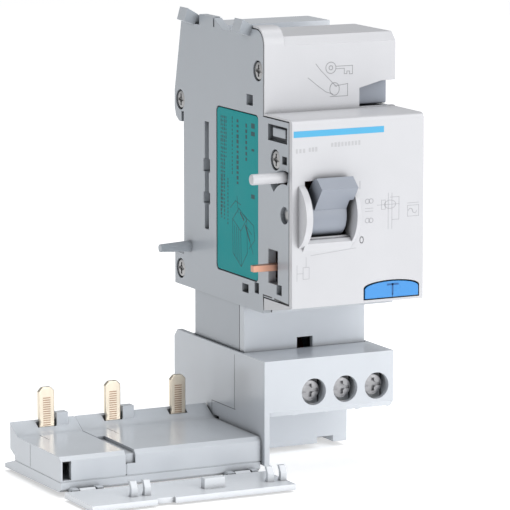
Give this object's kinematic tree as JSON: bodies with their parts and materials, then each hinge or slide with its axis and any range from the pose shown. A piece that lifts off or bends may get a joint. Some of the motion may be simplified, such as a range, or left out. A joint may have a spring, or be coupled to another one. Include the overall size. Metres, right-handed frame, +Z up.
{
  "type": "residual current device",
  "caption": "Two-module residual current add-on block with a toggle, a test button, a sliding terminal carriage, a bladed side tray and a hinged flap.",
  "frame": {"origin": "middle of the 35 mm width, on the plane of the rail's front face, at the rail's centre line", "axes": "+X to the right seen from the front (the breaker docks on the -X side), +Y to the back, +Z up"},
  "size_m": [0.0878, 0.0703, 0.1096],
  "materials": {
    "grey_housing_plastic": "semi-gloss moulded grey",
    "light_grey_plastic": "semi-gloss moulded light grey",
    "white_cover_plastic": "semi-gloss moulded white",
    "toggle_plastic": "satin moulded",
    "blue_button_plastic": "semi-gloss moulded",
    "teal_label_film": "printed film",
    "zinc_steel": "zinc plated",
    "copper": "bare copper",
    "tinned_brass": "tinned",
    "dark_core": "tape wound",
    "amber_winding": "enamelled wire",
    "black_insulation": "moulded"
  },
  "bodies": {
    "housing": {"left_shell": "grey_housing_plastic", "right_shell": "light_grey_plastic", "front_cover": "white_cover_plastic", "housing_screw_1": "zinc_steel", "housing_screw_2": "zinc_steel", "housing_screw_3": "zinc_steel", "housing_screw_4": "zinc_steel", "rating_label": "teal_label_film", "transformer_case": "black_insulation", "transformer_core": "dark_core", "secondary_winding": "amber_winding", "primary_conductor_1": "copper", "primary_conductor_2": "copper", "primary_conductor_3": "copper", "trip_relay": "black_insulation", "relay_plunger": "tinned_brass", "toggle_shaft": "zinc_steel", "toggle_spring": "zinc_steel", "lever_pivot": "zinc_steel", "test_spring": "zinc_steel", "test_contact": "copper", "test_resistor": "blue_button_plastic", "lock_spring": "zinc_steel"},
    "carriage": {"carriage_shell": "light_grey_plastic", "tray_base": "light_grey_plastic", "tray_cover": "light_grey_plastic", "tray_end_cover": "light_grey_plastic", "input_blade_1": "tinned_brass", "input_blade_2": "tinned_brass", "input_blade_3": "tinned_brass", "flap_hinge_pin_1": "zinc_steel", "flap_hinge_pin_2": "zinc_steel", "terminal_contact_1": "copper", "terminal_contact_2": "copper", "terminal_contact_3": "copper", "flexible_lead_1": "copper", "flexible_lead_2": "copper", "flexible_lead_3": "copper"},
    "flap": {"flap": "light_grey_plastic"},
    "toggle": {"toggle": "toggle_plastic"},
    "link": {"link_arm": "white_cover_plastic", "link_pin": "white_cover_plastic"},
    "trip_lever": {"trip_lever": "copper"},
    "test_button": {"test_button": "blue_button_plastic"},
    "lock_button": {"lock_button": "toggle_plastic"},
    "rail_latch": {"rail_latch": "grey_housing_plastic"},
    "terminal_screw_1": {"terminal_screw_1": "zinc_steel"},
    "cage_clamp_1": {"cage_clamp_1": "zinc_steel"},
    "terminal_screw_2": {"terminal_screw_2": "zinc_steel"},
    "cage_clamp_2": {"cage_clamp_2": "zinc_steel"},
    "terminal_screw_3": {"terminal_screw_3": "zinc_steel"},
    "cage_clamp_3": {"cage_clamp_3": "zinc_steel"}
  },
  "joints": [
    {"name": "carriage_slide", "type": "slide", "parent": "housing", "child": "carriage", "axis": [0, 0, 1], "range_m": [0, 0.011], "deforming": ["flexible_lead_1", "flexible_lead_2", "flexible_lead_3"]},
    {"name": "flap_hinge", "type": "hinge", "parent": "carriage", "child": "flap", "pos_m": [-0.044, -0.0445, -0.0643], "axis": [-1, 0, 0], "range_deg": [0, 90]},
    {"name": "toggle_hinge", "type": "hinge", "parent": "housing", "child": "toggle", "pos_m": [-0.0089, -0.055, -0.0006], "axis": [1, 0, 0], "range_deg": [0, 70]},
    {"name": "link_swing", "type": "hinge", "parent": "housing", "child": "link", "pos_m": [-0.0175, -0.055, -0.0006], "axis": [1, 0, 0], "range_deg": [-36, 0]},
    {"name": "trip_lever_swing", "type": "hinge", "parent": "housing", "child": "trip_lever", "pos_m": [-0.0145, -0.037, -0.0137], "axis": [1, 0, 0], "range_deg": [0, 12]},
    {"name": "test_button_slide", "type": "slide", "parent": "housing", "child": "test_button", "axis": [0, 1, 0], "range_m": [0, 0.0015], "deforming": ["test_spring"]},
    {"name": "lock_button_slide", "type": "slide", "parent": "housing", "child": "lock_button", "axis": [0, 1, 0], "range_m": [0, 0.0025], "deforming": ["lock_spring"]},
    {"name": "rail_latch_slide", "type": "slide", "parent": "housing", "child": "rail_latch", "axis": [0, 0, -1], "range_m": [0, 0.003]},
    {"name": "terminal_screw_1_turn", "type": "hinge", "parent": "carriage", "child": "terminal_screw_1", "pos_m": [-0.0042, -0.0417, -0.0458], "axis": [0, 1, 0], "range_deg": [0, 720]},
    {"name": "cage_clamp_1_slide", "type": "slide", "parent": "carriage", "child": "cage_clamp_1", "axis": [0, -1, 0], "range_m": [0, 0.0014]},
    {"name": "terminal_screw_2_turn", "type": "hinge", "parent": "carriage", "child": "terminal_screw_2", "pos_m": [0.00435, -0.0417, -0.0458], "axis": [0, 1, 0], "range_deg": [0, 720]},
    {"name": "cage_clamp_2_slide", "type": "slide", "parent": "carriage", "child": "cage_clamp_2", "axis": [0, -1, 0], "range_m": [0, 0.0014]},
    {"name": "terminal_screw_3_turn", "type": "hinge", "parent": "carriage", "child": "terminal_screw_3", "pos_m": [0.0129, -0.0417, -0.0458], "axis": [0, 1, 0], "range_deg": [0, 720]},
    {"name": "cage_clamp_3_slide", "type": "slide", "parent": "carriage", "child": "cage_clamp_3", "axis": [0, -1, 0], "range_m": [0, 0.0014]}
  ],
  "couplings": [
    {"joint": "link_swing", "follows": "toggle_hinge", "ratio": -0.514},
    {"joint": "trip_lever_swing", "follows": "toggle_hinge", "ratio": 0.171},
    {"joint": "terminal_screw_1_turn", "follows": "cage_clamp_1_slide", "rad_per_m": 8975},
    {"joint": "terminal_screw_2_turn", "follows": "cage_clamp_2_slide", "rad_per_m": 8975},
    {"joint": "terminal_screw_3_turn", "follows": "cage_clamp_3_slide", "rad_per_m": 8975}
  ]
}
